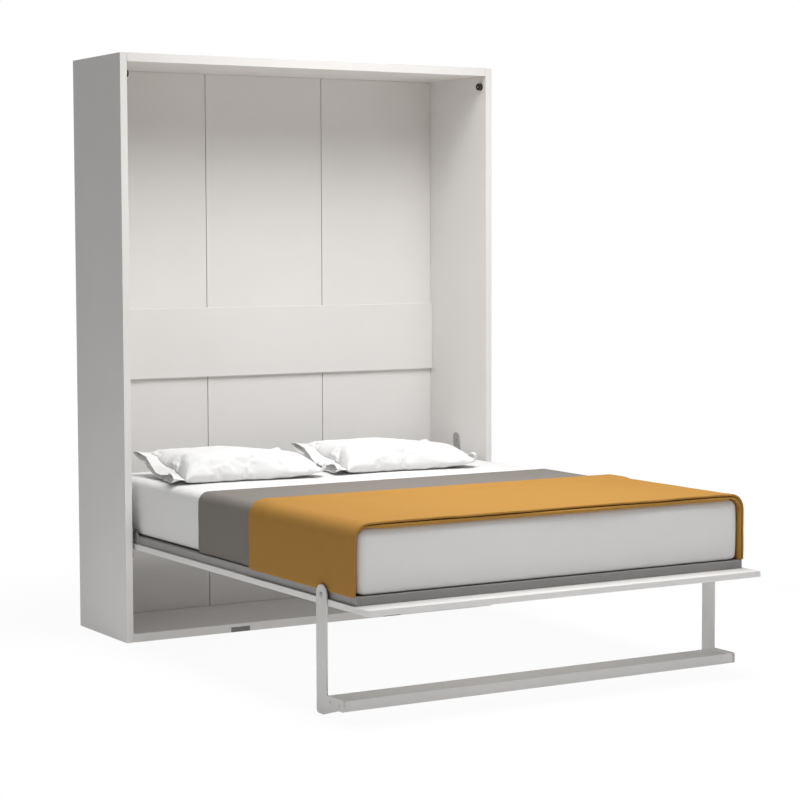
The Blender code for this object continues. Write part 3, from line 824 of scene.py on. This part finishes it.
def soft_goods():
    """The mattress, throws and pillows, in the places of their plain solids."""
    cover = knitted("mattress_cover", (0.84, 0.835, 0.83))
    grey = woven("grey_throw", (0.232, 0.212, 0.195), 0.0018, relief=0.0003)
    ochre = woven("ochre_throw", (0.425, 0.222, 0.052), 0.0022)
    linen = woven("pillow_linen", (0.80, 0.80, 0.795), 0.0009, weave_shade=0.94, relief=0.0001,
                  roughness=0.85)
    body = make_mattress(cover)
    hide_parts("mattress")
    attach(body, "bed")
    low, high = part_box("throw_grey")
    piece, flat = throw("throw_grey_cloth", high.y, low.y - GREY_TUCK, hem=0.3975,
                        thickness=0.0042, gap=0.0008, layers=1, seed=21, material=grey)
    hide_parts("throw_grey")
    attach(piece, "bed")
    low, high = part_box("throw_ochre")
    piece, flat = throw("throw_ochre_cloth", high.y, low.y, hem=0.3915, thickness=0.0078,
                        gap=0.0012, layers=2, seed=41, material=ochre, over=0.0050)
    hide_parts("throw_ochre")
    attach(piece, "bed")
    make_pillows(linen)


# ---- studio -------------------------------------------------------------------------
CAMERA_PLACE = (-4.0595, -6.8283, 1.4909)
CAMERA_YAW, CAMERA_PITCH, CAMERA_ROLL = 0.5357, -0.0729, -0.0029     # radians
CAMERA_LENS = 99.33       # millimetres, on a 36 mm sensor
SKY_LIGHT = 0.22
FLOOR_RADIUS = 9.0
FLOOR_LEVEL = -0.0005
FLOOR_GLOW = 0.33         # light that the pale floor gives off
FLOOR_FADE = 1.0, 2.6     # distances from the middle where its white starts and is full
FLOOR_WHITE = 0.88        # share of plain white within the first of them


def area_light(name, place, aim, size, power, spread=180):
    """A rectangular lamp at place, pointing at aim; power is in watts, spread in degrees."""
    data = bpy.data.lights.new(name, "AREA")
    data.shape = "RECTANGLE"
    data.size, data.size_y = size
    data.energy = power
    data.spread = math.radians(spread)
    lamp = bpy.data.objects.new(name, data)
    lamp.location = place
    lamp.rotation_euler = (Vector(aim) - Vector(place)).to_track_quat("-Z", "Y").to_euler()
    bpy.context.scene.collection.objects.link(lamp)


def world_light(strength):
    """An even sky for the light; the backdrop behind the object is plain white."""
    world = bpy.data.worlds.new("studio")
    bpy.context.scene.world = world
    world.use_nodes = True
    tree = world.node_tree
    seen = tree.nodes["Background"]
    seen.inputs["Color"].default_value = (1, 1, 1, 1)
    lit = tree.nodes.new("ShaderNodeBackground")
    lit.inputs["Color"].default_value = (1.0, 0.995, 0.985, 1)
    lit.inputs["Strength"].default_value = strength
    path = tree.nodes.new("ShaderNodeLightPath")
    mix = tree.nodes.new("ShaderNodeMixShader")
    tree.links.new(path.outputs["Is Camera Ray"], mix.inputs[0])
    tree.links.new(lit.outputs[0], mix.inputs[1])
    tree.links.new(seen.outputs[0], mix.inputs[2])
    tree.links.new(mix.outputs[0], tree.nodes["World Output"].inputs["Surface"])


def studio_floor():
    """A pale round floor whose rim fades into the white backdrop."""
    bm = bmesh.new()
    bmesh.ops.create_circle(bm, cap_ends=True, segments=96, radius=FLOOR_RADIUS)
    mesh = bpy.data.meshes.new("floor")
    bm.to_mesh(mesh)
    bm.free()
    floor = bpy.data.objects.new("floor", mesh)
    floor.location.z = FLOOR_LEVEL
    bpy.context.scene.collection.objects.link(floor)
    look = Look("floor", Roughness=0.9, Emission_Color=(1, 1, 1, 1), Emission_Strength=FLOOR_GLOW)
    look.shader.inputs["Base Color"].default_value = (0.86, 0.86, 0.86, 1)
    glow = look.node("Emission", {"Color": (1, 1, 1, 1), "Strength": 1.0})
    length = look.node("VectorMath", {0: look.place}, operation="LENGTH").outputs["Value"]
    seen = look.node("LightPath").outputs["Is Camera Ray"]
    fade = look.spread(length, *FLOOR_FADE, FLOOR_WHITE, 1.0)
    share = look.calc("MULTIPLY", fade, seen)
    mix = look.node("MixShader", {0: share, 1: look.shader.outputs[0], 2: glow.outputs[0]})
    output = look.tree.nodes["Material Output"]
    look.tree.links.new(mix.outputs[0], output.inputs["Surface"])
    mesh.materials.append(look.material)


def place_camera():
    """The camera, turned by yaw, then pitch, then roll."""
    data = bpy.data.cameras.new("camera")
    data.sensor_width = 36.0
    data.lens = CAMERA_LENS
    data.clip_start, data.clip_end = 0.1, 60.0
    camera = bpy.data.objects.new("camera", data)
    turn = Matrix.Rotation(-CAMERA_YAW, 4, "Z")
    turn = turn @ Matrix.Rotation(math.pi / 2 + CAMERA_PITCH, 4, "X")
    roll = Matrix.Rotation(CAMERA_ROLL, 4, "Z")
    camera.matrix_world = Matrix.Translation(CAMERA_PLACE) @ turn @ roll
    bpy.context.scene.collection.objects.link(camera)
    bpy.context.scene.camera = camera


def studio():
    """A lamp above the bed, a weak far one in front, a pale floor and a white backdrop."""
    bpy.context.scene.view_settings.view_transform = "Standard"
    world_light(SKY_LIGHT)
    area_light("overhead", (0.1, -0.78, 3.1), aim=(0.1, -0.77, 0.0), size=(2.0, 1.85),
               power=66.0, spread=135)
    area_light("front", (-8.8, -4.7, 0.9), aim=(0.0, 0.0, 0.5), size=(3.0, 1.2), power=33.5)
    studio_floor()


place_camera()
dress_frame()
soft_goods()
studio()
